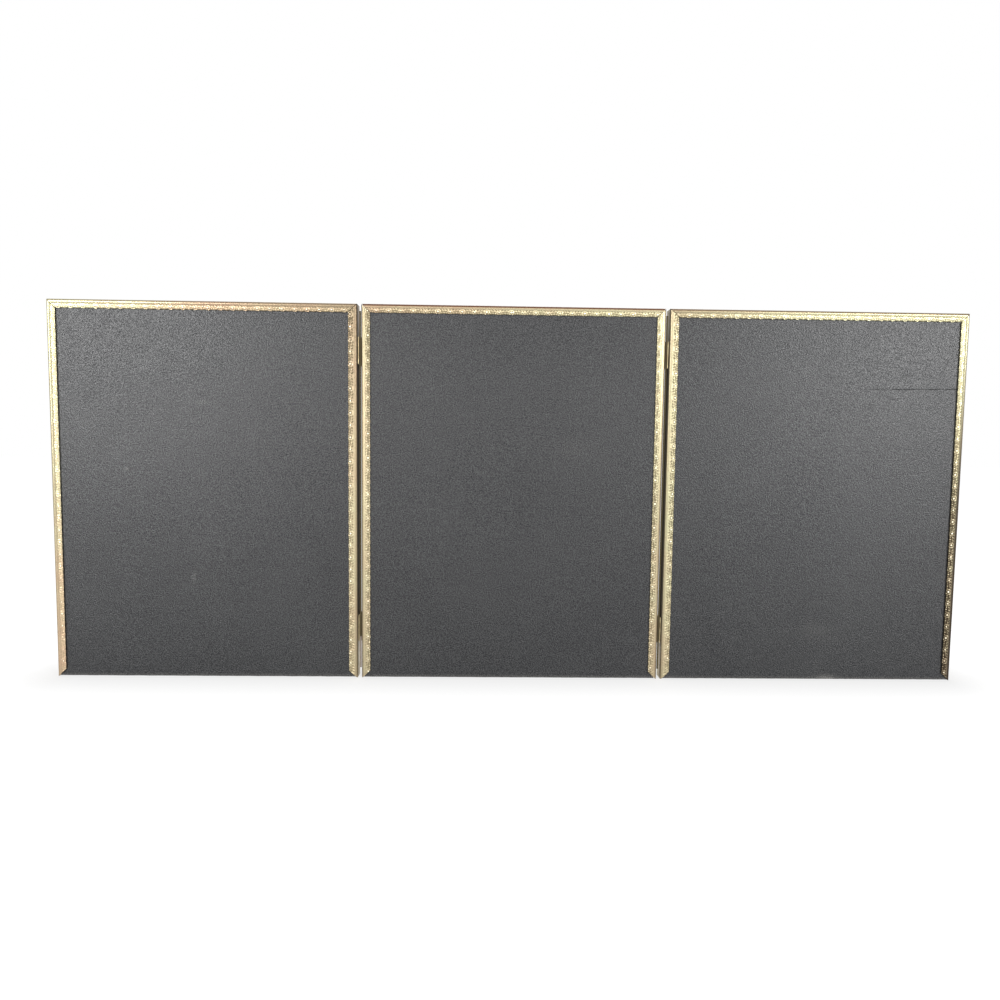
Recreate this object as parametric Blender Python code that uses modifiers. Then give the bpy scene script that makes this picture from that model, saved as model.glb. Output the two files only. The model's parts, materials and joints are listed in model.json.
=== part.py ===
"""Folding three-panel picture frame of rolled brass strip, seen from the front along +Y.

Each panel is four mitred rails that hold glass, a picture sheet, a filler card and a backing board.
The side rails and the top rail wrap round to the back; the bottom rail is open behind, so the four
layers slide in from below. Two small butt hinges join each wing to the centre panel. Their pins stand
just proud of the front, so a wing folds forwards until the two fronts lie face to face.

Metres, +Z up, front towards -Y. The origin is under the middle of the frame, on the surface it stands on.
"""
import math

import bmesh
import bpy
from mathutils import Matrix

mm = 0.001

# What the frame holds: an 8 by 10 inch print behind glass, backed by card
picture_width = 203.2 * mm
picture_height = 254.0 * mm
glass_thickness = 2.0 * mm
sheet_thickness = 0.3 * mm
filler_thickness = 3.7 * mm
board_thickness = 1.5 * mm
board_edge_round = 0.3 * mm
glass_edge_round = 0.25 * mm

# Room round the layers
layer_gap = 0.3 * mm
side_play = 1.3 * mm
top_play = 1.7 * mm
layer_lift = 0.5 * mm
board_lift = 0.3 * mm

# Rolled strip: front moulding, wall and back lip
strip_thickness = 0.6 * mm
front_lip_width = 9.5 * mm
back_lip_width = 6.0 * mm
front_edge_radius = 1.2 * mm
back_edge_radius = 1.6 * mm
ridge_width = 0.9 * mm
valley_depth = 1.3 * mm
valley_slope_width = 0.6 * mm
front_band_rise = 0.8 * mm
bead_inner_radius = 0.35 * mm
bead_depth = 0.5 * mm
front_moulding_depth = 2.0 * mm
back_band_rise = 0.4 * mm
back_edge_flat = 0.5 * mm
mitre_seam = 0.3 * mm

# Hinges
panel_gap = 2.3 * mm
hinge_height = 18.0 * mm
upper_hinge_inset = 31.0 * mm
lower_hinge_inset = 34.5 * mm
leaf_thickness = 0.45 * mm
leaf_seat = 0.15 * mm
leaf_setback = 2.4 * mm
knuckle_count = 5
knuckle_gap = 0.3 * mm
knuckle_wrap = 285.0
axis_proud = 0.4 * mm
pin_clearance = 0.1 * mm
pin_head_radius = 0.95 * mm
pin_head_height = 0.6 * mm
pin_head_dome = 0.25 * mm

# Rivets through a leaf and the wall behind it
rivet_spacing = 10.0 * mm
rivet_radius = 0.8 * mm
rivet_head_radius = 1.4 * mm
rivet_head_height = 0.2 * mm
rivet_clearance = 0.1 * mm
rivet_head_chamfer = 0.1 * mm

# Worked out from the sizes above
panel_width = picture_width + 2 * (side_play + strip_thickness)
panel_height = layer_lift + picture_height + top_play + strip_thickness
glass_front = front_moulding_depth + layer_gap
sheet_front = glass_front + glass_thickness + layer_gap
filler_front = sheet_front + sheet_thickness + layer_gap
board_front = filler_front + filler_thickness + layer_gap
back_lip_inner = board_front + board_thickness + layer_gap
back_lip_outer = back_lip_inner + strip_thickness
panel_depth = back_lip_outer + back_band_rise
mitre_setback = mitre_seam / math.sqrt(2)
bead_radius = bead_inner_radius + strip_thickness
panel_pitch = panel_width + panel_gap
knuckle_radius = panel_gap / 2 - leaf_seat
knuckle_bore = knuckle_radius - leaf_thickness
pin_radius = knuckle_bore - pin_clearance
knuckle_pitch = (hinge_height + knuckle_gap) / knuckle_count
leaf_reach = axis_proud + panel_depth - leaf_setback
rivet_depth = panel_depth / 2
front_y = -(panel_depth - axis_proud - knuckle_radius) / 2
axis_y = front_y - axis_proud

part_collection_name = "folding_three_panel_picture_frame"
cutter_collection_name = "cutters"


def clear_scene():
    for item in list(bpy.data.objects):
        bpy.data.objects.remove(item, do_unlink=True)


def make_collection(name):
    collection = bpy.data.collections.new(name)
    bpy.context.scene.collection.children.link(collection)
    return collection


def make_material(name, colour, roughness, metallic, alpha=1.0):
    material = bpy.data.materials.new(name)
    material.use_nodes = True
    shader = material.node_tree.nodes["Principled BSDF"]
    shader.inputs["Base Color"].default_value = (*colour, 1.0)
    shader.inputs["Roughness"].default_value = roughness
    shader.inputs["Metallic"].default_value = metallic
    shader.inputs["Alpha"].default_value = alpha
    material.diffuse_color = (*colour, alpha)
    return material


def add_part(name, mesh, material, parent, location=(0, 0, 0), turn=0.0):
    """Adds one named piece; turn is its angle about Y in degrees."""
    item = bpy.data.objects.new(name, mesh)
    parts.objects.link(item)
    mesh.materials.clear()
    mesh.materials.append(material)
    item.parent = parent
    item.location = location
    item.rotation_euler = (0, math.radians(turn), 0)
    return item


def add_cutter(name, mesh, parent, location=(0, 0, 0)):
    item = bpy.data.objects.new(name, mesh)
    cutters.objects.link(item)
    item.parent = parent
    item.location = location
    item.hide_render = True
    item.display_type = "WIRE"
    return item


def add_empty(name, location, parent=None):
    item = bpy.data.objects.new(name, None)
    parts.objects.link(item)
    item.location = location
    item.parent = parent
    return item


def cut_with(item, cutter):
    modifier = item.modifiers.new("cut " + cutter.name, "BOOLEAN")
    modifier.operation = "DIFFERENCE"
    modifier.solver = "EXACT"
    modifier.object = cutter


def mesh_from(form, name):
    mesh = bpy.data.meshes.new(name)
    form.to_mesh(mesh)
    form.free()
    return mesh


def evaluated_mesh(name, mesh, add_modifiers):
    """Mesh with the modifiers of add_modifiers applied, made on an object that is removed again."""
    helper = bpy.data.objects.new(name, mesh)
    bpy.context.scene.collection.objects.link(helper)
    add_modifiers(helper)
    graph = bpy.context.evaluated_depsgraph_get()
    result = bpy.data.meshes.new_from_object(helper.evaluated_get(graph))
    bpy.data.objects.remove(helper, do_unlink=True)
    result.name = name
    return result


def arc(centre_x, centre_y, radius, start, end, steps):
    """Points on an arc, angles in degrees, both ends included."""
    angles = [math.radians(start + (end - start) * i / steps) for i in range(steps + 1)]
    return [(centre_x + radius * math.cos(a), centre_y + radius * math.sin(a)) for a in angles]


def arch(start, end, rise, steps):
    """Points of a low arch between two points, raised towards lower or higher depth by rise."""
    points = []
    for i in range(1, steps):
        share = i / steps
        inward = start[0] + (end[0] - start[0]) * share
        depth = start[1] + (end[1] - start[1]) * share + rise * math.sin(math.pi * share)
        points.append((inward, depth))
    return points


def front_moulding_path():
    """Outer skin of the front moulding, from the sight edge out to the wall, as (inward, depth)."""
    bead_centre = front_lip_width - bead_radius
    band_start = (bead_centre - bead_radius, valley_depth)
    band_end = (front_edge_radius + ridge_width + valley_slope_width, valley_depth)
    path = [(front_lip_width, front_moulding_depth)]
    path += arc(bead_centre, bead_depth + bead_radius, bead_radius, 0, -180, 8)[:-1]
    path.append(band_start)
    path += arch(band_start, band_end, -front_band_rise, 8)
    path.append(band_end)
    path.append((front_edge_radius + ridge_width, 0.0))
    path += arc(front_edge_radius, front_edge_radius, front_edge_radius, 270, 180, 4)
    return path


def back_lip_path():
    """Outer skin of the back lip, from the wall in to its free edge, with its low embossed band."""
    round_start = back_lip_outer - back_edge_radius
    path = arc(back_edge_radius, round_start, back_edge_radius, 180, 90, 5)
    band_start = (back_edge_radius + back_edge_flat, back_lip_outer)
    band_end = (back_lip_width, back_lip_outer)
    path.append(band_start)
    path += arch(band_start, band_end, back_band_rise, 6)
    path.append(band_end)
    return path


def strip_mesh(name, path, length):
    """Strip along X with the section path: X along the rail, Y its depth, -Z inward."""
    form = bmesh.new()
    corners = [form.verts.new((-length / 2, depth, -inward)) for inward, depth in path]
    edges = [form.edges.new(pair) for pair in zip(corners, corners[1:])]
    swept = bmesh.ops.extrude_edge_only(form, edges=edges)
    moved = [part for part in swept["geom"] if isinstance(part, bmesh.types.BMVert)]
    bmesh.ops.translate(form, verts=moved, vec=(length, 0, 0))
    bmesh.ops.recalc_face_normals(form, faces=form.faces)
    return mesh_from(form, name)


def thickened(name, mesh, thickness):
    """The sheet whose outer skin is mesh, made a closed solid that is thickness deep behind it."""
    def add_solidify(item):
        modifier = item.modifiers.new("thickness", "SOLIDIFY")
        modifier.thickness = thickness
        modifier.offset = -1.0
        modifier.use_even_offset = True
        modifier.use_rim = True
    return evaluated_mesh(name, mesh, add_solidify)


def face_outwards(mesh):
    form = bmesh.new()
    form.from_mesh(mesh)
    bmesh.ops.recalc_face_normals(form, faces=form.faces)
    form.to_mesh(mesh)
    form.free()


def rail_mesh(name, path, length, start_end, finish_end):
    """Rail of the strip section whose two ends are cut by rules that give the end from the inward place."""
    mesh = thickened(name, strip_mesh(name + "_skin", path, length), strip_thickness)
    for vertex in mesh.vertices:
        inward = -vertex.co.z
        if vertex.co.x < 0:
            vertex.co.x = -start_end(inward)
        else:
            vertex.co.x = finish_end(inward)
    face_outwards(mesh)
    mesh.set_sharp_from_angle(angle=math.radians(35))
    return mesh


def top_mitre(inward):
    return panel_width / 2 - inward - mitre_setback


def bottom_mitre(inward):
    return panel_width / 2 - strip_thickness - inward - 2 * mitre_setback


def side_mitre(inward):
    return panel_height / 2 - inward - mitre_setback


def side_foot(inward):
    """Foot of a side rail: its wall is cut square, and its lips are cut at 45 degrees."""
    return panel_height / 2 - max(0.0, inward - strip_thickness)


def box_mesh(name, width, depth, height):
    """Box centred in X, from 0 to depth in Y and from 0 to height in Z."""
    form = bmesh.new()
    bmesh.ops.create_cube(form, size=1.0)
    bmesh.ops.scale(form, vec=(width, depth, height), verts=form.verts)
    bmesh.ops.translate(form, vec=(0, depth / 2, height / 2), verts=form.verts)
    return mesh_from(form, name)


def add_layer(name, material, parent, location, thickness, edge_round):
    mesh = box_mesh(name, picture_width, thickness, picture_height)
    item = add_part(name, mesh, material, parent, location)
    if edge_round:
        modifier = item.modifiers.new("rounded edges", "BEVEL")
        modifier.width = edge_round
        modifier.segments = 2
    return item


def hinge_heights():
    return {"upper": panel_height - upper_hinge_inset, "lower": lower_hinge_inset}


def rivet_heights():
    return [z + side * rivet_spacing / 2 for z in hinge_heights().values() for side in (-1, 1)]


def rivet_hole_cutter(name, parent, wall_x, front):
    """Round cutters through a side wall, one for each rivet, with their axes along X."""
    form = bmesh.new()
    length = 4 * (leaf_thickness + strip_thickness)
    for height in rivet_heights():
        place = Matrix.Translation((0, rivet_depth, height)) @ Matrix.Rotation(math.pi / 2, 4, "Y")
        bmesh.ops.create_cone(form, cap_ends=True, segments=12, radius1=rivet_radius + rivet_clearance,
                              radius2=rivet_radius + rivet_clearance, depth=length, matrix=place)
    return add_cutter(name, mesh_from(form, name), parent, (wall_x, front, 0))


def add_panel(prefix, parent, centre_x, front, hinged_sides):
    """Rails and layers of one panel; centre_x and front are its middle and front plane in the parent."""
    whole = front_moulding_path() + back_lip_path()
    open_back = front_moulding_path() + [(0.0, front_moulding_depth)]
    middle = panel_height / 2

    top = rail_mesh(prefix + "_top_rail", whole, panel_width, top_mitre, top_mitre)
    add_part(prefix + "_top_rail", top, brass, parent, (centre_x, front, panel_height))
    bottom = rail_mesh(prefix + "_bottom_rail", open_back, panel_width, bottom_mitre, bottom_mitre)
    add_part(prefix + "_bottom_rail", bottom, brass, parent, (centre_x, front, 0), 180)

    left = rail_mesh(prefix + "_left_rail", whole, panel_height, side_foot, side_mitre)
    left_x = centre_x - panel_width / 2
    left_rail = add_part(prefix + "_left_rail", left, brass, parent, (left_x, front, middle), -90)
    right = rail_mesh(prefix + "_right_rail", whole, panel_height, side_mitre, side_foot)
    right_x = centre_x + panel_width / 2
    right_rail = add_part(prefix + "_right_rail", right, brass, parent, (right_x, front, middle), 90)
    for side, rail, wall_x in (("left", left_rail, left_x), ("right", right_rail, right_x)):
        if side in hinged_sides:
            cut_with(rail, rivet_hole_cutter(prefix + "_" + side + "_rivet_holes", parent, wall_x, front))

    add_layer(prefix + "_glass", glass, parent, (centre_x, front + glass_front, layer_lift),
              glass_thickness, glass_edge_round)
    add_layer(prefix + "_picture_sheet", paper, parent, (centre_x, front + sheet_front, layer_lift),
              sheet_thickness, 0)
    add_layer(prefix + "_filler_card", grey_card, parent, (centre_x, front + filler_front, layer_lift),
              filler_thickness, 0)
    add_layer(prefix + "_backing_board", black_card, parent, (centre_x, front + board_front, board_lift),
              board_thickness, board_edge_round)


def leaf_path():
    """Outer skin of a hinge leaf seen from above: flat plate at +X, then rolled round the pin's axis."""
    return [(knuckle_radius, leaf_reach)] + arc(0, 0, knuckle_radius, 0, -knuckle_wrap, 16)


def leaf_mesh(name):
    """Leaf before its knuckles are notched: plate and roll as one bent sheet of the hinge's height."""
    form = bmesh.new()
    corners = [form.verts.new((x, y, -hinge_height / 2)) for x, y in leaf_path()]
    edges = [form.edges.new(pair) for pair in zip(corners, corners[1:])]
    swept = bmesh.ops.extrude_edge_only(form, edges=edges)
    moved = [part for part in swept["geom"] if isinstance(part, bmesh.types.BMVert)]
    bmesh.ops.translate(form, verts=moved, vec=(0, 0, hinge_height))
    bmesh.ops.recalc_face_normals(form, faces=form.faces)
    mesh = thickened(name, mesh_from(form, name + "_skin"), leaf_thickness)
    face_outwards(mesh)
    mesh.set_sharp_from_angle(angle=math.radians(35))
    return mesh


def knuckle_notches(name, parent, location, other_indices):
    """Boxes that clear the other leaf's knuckles, a gap longer at each end."""
    form = bmesh.new()
    reach = knuckle_radius + knuckle_gap
    for index in other_indices:
        low = -hinge_height / 2 + index * knuckle_pitch - knuckle_gap
        high = low + knuckle_pitch + knuckle_gap
        if index == 0:
            low -= hinge_height
        if index == knuckle_count - 1:
            high += hinge_height
        place = Matrix.Translation((0, 0, (low + high) / 2)) @ Matrix.Diagonal(
            (4 * reach, 2 * reach, high - low, 1))
        bmesh.ops.create_cube(form, size=1.0, matrix=place)
    return add_cutter(name, mesh_from(form, name), parent, location)


def add_leaf(name, parent, location, side, own_indices, hole_cutter):
    """Hinge leaf on the wall at +X (side 1) or -X (side -1) of the pin's axis."""
    mesh = leaf_mesh(name)
    if side < 0:
        mesh.transform(Matrix.Diagonal((-1, 1, 1, 1)))
        mesh.flip_normals()
    item = add_part(name, mesh, hinge_brass, parent, location)
    other_indices = [i for i in range(knuckle_count) if i not in own_indices]
    cut_with(item, knuckle_notches(name + "_notches", parent, location, other_indices))
    cut_with(item, hole_cutter)
    return item


def turned_mesh(name, profile, steps):
    """Solid of revolution about Z from a profile of (radius, height) points, top to bottom."""
    form = bmesh.new()
    points = [form.verts.new((radius, 0, height)) for radius, height in profile]
    for pair in zip(points, points[1:]):
        form.edges.new(pair)

    def add_screw(item):
        modifier = item.modifiers.new("turned", "SCREW")
        modifier.axis = "Z"
        modifier.steps = steps
        modifier.render_steps = steps
        modifier.use_merge_vertices = True
        modifier.merge_threshold = 0.00001
    mesh = evaluated_mesh(name, mesh_from(form, name + "_profile"), add_screw)
    face_outwards(mesh)
    mesh.set_sharp_from_angle(angle=math.radians(40))
    return mesh


def pin_mesh():
    """Hinge pin: a straight shank with a low domed head at each end, clear of the outer knuckles."""
    seat = hinge_height / 2 + pin_clearance
    top = seat + pin_head_height
    half = [(0.0, top), (pin_head_radius - pin_head_dome, top), (pin_head_radius, top - pin_head_dome),
            (pin_head_radius, seat), (pin_radius, seat)]
    profile = half + [(radius, -height) for radius, height in reversed(half)]
    return turned_mesh("hinge_pin", profile, 16)


def rivet_mesh():
    """Rivet along Z: shank through leaf and wall with a thin chamfered head at each end."""
    grip = (leaf_thickness + leaf_seat + strip_thickness + 2 * rivet_clearance) / 2
    top = grip + rivet_head_height
    half = [(0.0, top), (rivet_head_radius - rivet_head_chamfer, top),
            (rivet_head_radius, top - rivet_head_chamfer), (rivet_head_radius, grip), (rivet_radius, grip)]
    profile = half + [(radius, -height) for radius, height in reversed(half)]
    return turned_mesh("rivet", profile, 12)


def add_rivets(name, parent, wall_x, front, outward, height):
    """Rivets of one leaf, through a wall whose outer face is at wall_x and looks along outward in X."""
    middle = (leaf_seat + leaf_thickness - strip_thickness) / 2
    for number, side in enumerate((1, -1), 1):
        place = (wall_x + outward * middle, front + rivet_depth, height + side * rivet_spacing / 2)
        add_part(name + "_rivet_" + str(number), rivet_mesh(), steel, parent, place, 90)


def add_hinges(wing, side, wing_parent, centre_parent):
    """Both hinges between the centre panel and one wing; side is 1 for the right wing, -1 for the left."""
    axis_x = side * panel_pitch / 2
    wing_knuckles = [i for i in range(knuckle_count) if i % 2 == 1]
    centre_knuckles = [i for i in range(knuckle_count) if i % 2 == 0]
    wing_wall = side * panel_gap / 2
    centre_wall = axis_x - wing_wall
    wing_holes = rivet_hole_cutter(wing + "_leaf_holes", wing_parent, wing_wall, axis_proud)
    centre_holes = rivet_hole_cutter(wing + "_centre_leaf_holes", centre_parent, centre_wall, front_y)
    for level, height in hinge_heights().items():
        name = level + "_" + wing.removesuffix("_wing") + "_hinge"
        add_leaf(name + "_wing_leaf", wing_parent, (0, 0, height), side, wing_knuckles, wing_holes)
        add_rivets(name + "_wing", wing_parent, wing_wall, axis_proud, -side, height)
        place = (axis_x, axis_y, height)
        add_leaf(name + "_centre_leaf", centre_parent, place, -side, centre_knuckles, centre_holes)
        add_rivets(name + "_centre", centre_parent, centre_wall, front_y, side, height)
        add_part(name + "_pin", pin_mesh(), steel, centre_parent, place)


def build():
    base = add_empty("frame_base", (0, 0, 0))
    add_panel("centre", base, 0.0, front_y, ("left", "right"))

    # Each wing hangs on an empty on its hinge axis, which lies axis_proud in front of the fronts
    for wing, side in (("left_wing", -1), ("right_wing", 1)):
        axis = add_empty(wing + "_axis", (side * panel_pitch / 2, axis_y, 0), base)
        inner_side = "right" if side < 0 else "left"
        add_panel(wing, axis, side * panel_pitch / 2, axis_proud, (inner_side,))
        add_hinges(wing, side, axis, base)


clear_scene()
parts = make_collection(part_collection_name)
cutters = make_collection(cutter_collection_name)
brass = make_material("brass_strip", (0.78, 0.62, 0.36), 0.34, 1.0)
hinge_brass = make_material("hinge_brass", (0.62, 0.50, 0.32), 0.42, 1.0)
steel = make_material("pin_steel", (0.50, 0.47, 0.42), 0.40, 1.0)
glass = make_material("glass", (0.90, 0.95, 0.93), 0.05, 0.0, 0.35)
paper = make_material("plain_paper", (0.86, 0.85, 0.80), 0.85, 0.0)
grey_card = make_material("grey_card", (0.46, 0.43, 0.38), 0.90, 0.0)
black_card = make_material("black_card", (0.060, 0.060, 0.062), 0.62, 0.0)
build()
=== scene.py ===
import json
import math

import bpy
import numpy as np
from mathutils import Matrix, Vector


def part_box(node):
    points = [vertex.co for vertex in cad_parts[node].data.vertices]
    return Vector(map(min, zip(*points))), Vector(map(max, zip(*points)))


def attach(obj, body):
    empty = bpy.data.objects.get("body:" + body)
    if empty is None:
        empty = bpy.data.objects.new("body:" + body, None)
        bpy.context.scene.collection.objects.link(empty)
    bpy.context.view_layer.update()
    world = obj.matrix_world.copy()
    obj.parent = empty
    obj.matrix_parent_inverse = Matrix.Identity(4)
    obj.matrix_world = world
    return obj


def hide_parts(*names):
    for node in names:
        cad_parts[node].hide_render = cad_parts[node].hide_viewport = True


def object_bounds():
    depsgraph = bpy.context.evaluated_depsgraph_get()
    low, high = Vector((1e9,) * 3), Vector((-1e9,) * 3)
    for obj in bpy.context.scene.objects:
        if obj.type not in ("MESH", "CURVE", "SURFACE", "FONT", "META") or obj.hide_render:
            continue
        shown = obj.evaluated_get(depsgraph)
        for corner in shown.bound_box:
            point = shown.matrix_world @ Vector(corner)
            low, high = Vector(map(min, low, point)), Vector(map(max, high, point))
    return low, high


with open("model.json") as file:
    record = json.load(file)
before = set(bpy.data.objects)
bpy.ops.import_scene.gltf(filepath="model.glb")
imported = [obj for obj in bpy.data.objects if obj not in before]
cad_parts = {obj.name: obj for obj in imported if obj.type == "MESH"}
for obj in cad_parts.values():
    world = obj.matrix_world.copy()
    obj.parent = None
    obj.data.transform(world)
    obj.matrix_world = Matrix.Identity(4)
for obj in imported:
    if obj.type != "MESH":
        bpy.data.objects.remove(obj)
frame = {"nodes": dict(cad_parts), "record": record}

# Looks of a folding three-panel picture frame of embossed brass strip, seen from behind.
# Metres, +Z up, front towards -Y; the camera stands behind the frame, at +Y.

mm = 0.001
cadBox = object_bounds()
panelNames = ("left_wing", "centre", "right_wing")
print("frame loaded:", len(frame["nodes"]), "nodes")


# Meshes from whole arrays

def addPiece(name, points, quads, triangles, material, body, values=None, sharpAngle=60.0):
    # One mesh object from arrays: points (n, 3), quads (m, 4), triangles (k, 3), and values, which holds an
    # array of n for each attribute's name.
    # The signed volume, the sum of p0 . (p1 x p2) / 6 over all triangles, says if the faces look inwards.
    split = np.concatenate([quads[:, [0, 1, 2]], quads[:, [0, 2, 3]], triangles])
    corner = points[split]
    volume = np.einsum("ij,ij->i", corner[:, 0], np.cross(corner[:, 1], corner[:, 2])).sum() / 6
    if volume < 0:
        quads = quads[:, ::-1]
        triangles = triangles[:, ::-1]
    mesh = bpy.data.meshes.new(name)
    mesh.vertices.add(len(points))
    mesh.vertices.foreach_set("co", points.astype(np.float32).ravel())
    loops = np.concatenate([quads.ravel(), triangles.ravel()]).astype(np.int32)
    mesh.loops.add(len(loops))
    mesh.loops.foreach_set("vertex_index", loops)
    sizes = np.concatenate([np.full(len(quads), 4), np.full(len(triangles), 3)])
    starts = np.concatenate([[0], np.cumsum(sizes)[:-1]]).astype(np.int32)
    mesh.polygons.add(len(sizes))
    mesh.polygons.foreach_set("loop_start", starts)
    mesh.update(calc_edges=True)
    mesh.validate()
    mesh.polygons.foreach_set("use_smooth", np.ones(len(mesh.polygons), bool))
    mesh.set_sharp_from_angle(angle=math.radians(sharpAngle))
    for key, array in (values or {}).items():
        layer = mesh.attributes.new(key, "FLOAT", "POINT")
        layer.data.foreach_set("value", np.asarray(array, np.float32).ravel())
    mesh.materials.append(material)
    piece = bpy.data.objects.new(name, mesh)
    bpy.context.scene.collection.objects.link(piece)
    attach(piece, body)
    return piece


def closedSweep(outer, inner):
    # Closed shell between two skins, outer (rows, n, 3) and inner (rows, m, 3), that follow the same path.
    # The rows join to quads all round, and each end is zipped: both paths are walked by their share of
    # length, and every step of one is joined to the point that the other has reached.
    rows, n = outer.shape[:2]
    m = inner.shape[1]
    ring = np.concatenate([outer, inner[:, ::-1]], axis=1)
    size = n + m
    points = ring.reshape(-1, 3)
    row = np.arange(rows - 1)[:, None] * size
    k = np.arange(size)[None, :]
    after = (k + 1) % size
    quads = np.stack([row + k, row + after, row + size + after, row + size + k], axis=-1).reshape(-1, 4)

    def middles(path):
        step = np.linalg.norm(np.diff(path, axis=0), axis=1)
        reached = np.concatenate([[0], np.cumsum(step)]) / step.sum()
        return (reached[1:] + reached[:-1]) / 2

    caps = []
    for end in (0, rows - 1):
        a = middles(outer[end])
        b = middles(inner[end])
        i = np.arange(n - 1)
        j = np.arange(m - 1)
        innerAt = size - 1 - np.searchsorted(b, a, side="left")
        outerAt = np.searchsorted(a, b, side="right")
        fans = np.concatenate([
            np.stack([i, i + 1, innerAt], axis=1),
            np.stack([size - 1 - (j + 1), size - 1 - j, outerAt], axis=1),
        ]) + end * size
        caps.append(fans if end else fans[:, ::-1])
    return points, quads, np.concatenate(caps)


def smoothStep(low, high, x):
    # 0 below low, 1 above high, and 3t^2 - 2t^3 between
    t = np.clip((x - low) / (high - low), 0, 1)
    return t * t * (3 - 2 * t)


def softNoise(x, y, size, seed):
    # Smooth wavy noise of about -1 to 1: six sine waves of unlike direction and length near size
    random = np.random.default_rng(seed)
    total = np.zeros(np.broadcast(x, y).shape)
    for angle, stretch, shift in zip(random.uniform(0, math.pi, 6), random.uniform(0.6, 1.7, 6),
                                     random.uniform(0, 2 * math.pi, 6)):
        wave = 2 * math.pi / (size * stretch)
        total = total + np.sin(wave * (x * math.cos(angle) + y * math.sin(angle)) + shift)
    return total / 3.5


# Materials

def addNode(material, kind, inputs=None, **settings):
    tree = material.node_tree
    node = tree.nodes.new(kind)
    for key, value in settings.items():
        setattr(node, key, value)
    for key, value in (inputs or {}).items():
        if isinstance(value, bpy.types.NodeSocket):
            tree.links.new(value, node.inputs[key])
        else:
            node.inputs[key].default_value = value
    return node


def newMaterial(name, roughness, metallic=0.0):
    material = bpy.data.materials.new(name)
    material.use_nodes = True
    shader = material.node_tree.nodes["Principled BSDF"]
    shader.inputs["Roughness"].default_value = roughness
    shader.inputs["Metallic"].default_value = metallic
    return material, shader


def link(material, output, socket):
    material.node_tree.links.new(output, socket)


def noiseOf(material, place, size, detail=3.0, roughness=0.55, distortion=0.0):
    # Cloudy noise whose grains measure about size metres
    node = addNode(material, "ShaderNodeTexNoise", {"Vector": place, "Scale": 1 / size, "Detail": detail,
                                                    "Roughness": roughness, "Distortion": distortion})
    return node.outputs["Fac"]


def mapped(material, value, fromLow, fromHigh, toLow, toHigh, smooth=False):
    node = addNode(material, "ShaderNodeMapRange", {"Value": value, "From Min": fromLow, "From Max": fromHigh,
                                                    "To Min": toLow, "To Max": toHigh},
                   interpolation_type="SMOOTHSTEP" if smooth else "LINEAR")
    return node.outputs["Result"]


def maths(material, operation, first, second):
    return addNode(material, "ShaderNodeMath", {0: first, 1: second}, operation=operation).outputs[0]


def mixed(material, share, first, second):
    # Colour that goes from first to second as share goes from 0 to 1
    return addNode(material, "ShaderNodeMix", {0: share, 6: first, 7: second}, data_type="RGBA").outputs[2]


def attribute(material, name):
    return addNode(material, "ShaderNodeAttribute", attribute_name=name).outputs["Fac"]


def objectPlace(material):
    return addNode(material, "ShaderNodeTexCoord").outputs["Object"]


def bumped(material, height, distance, strength):
    inputs = {"Height": height, "Distance": distance, "Strength": strength}
    return addNode(material, "ShaderNodeBump", inputs).outputs["Normal"]


def scaledPlace(material, place, scale):
    # Object place with each axis scaled: noise read there is drawn out along an axis whose scale is small
    return addNode(material, "ShaderNodeMapping", {"Vector": place, "Scale": scale}).outputs["Vector"]


brassLook = {
    "pale": (0.64, 0.61, 0.385, 1),
    "tan": (0.60, 0.42, 0.285, 1),
    "recess": (0.20, 0.165, 0.090, 1),
    "stainedAndShaded": (0.030, 0.022, 0.014, 1),
    "polishAndHighlight": (0.98, 0.94, 0.76, 1),
    "paintedShade": (0.10, 0.080, 0.052, 1),
    "rim": (0.17, 0.085, 0.05, 1),
    "paintedShadeColour": (0.045, 0.034, 0.025, 1),
    "roughness": 0.33,
}


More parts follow.
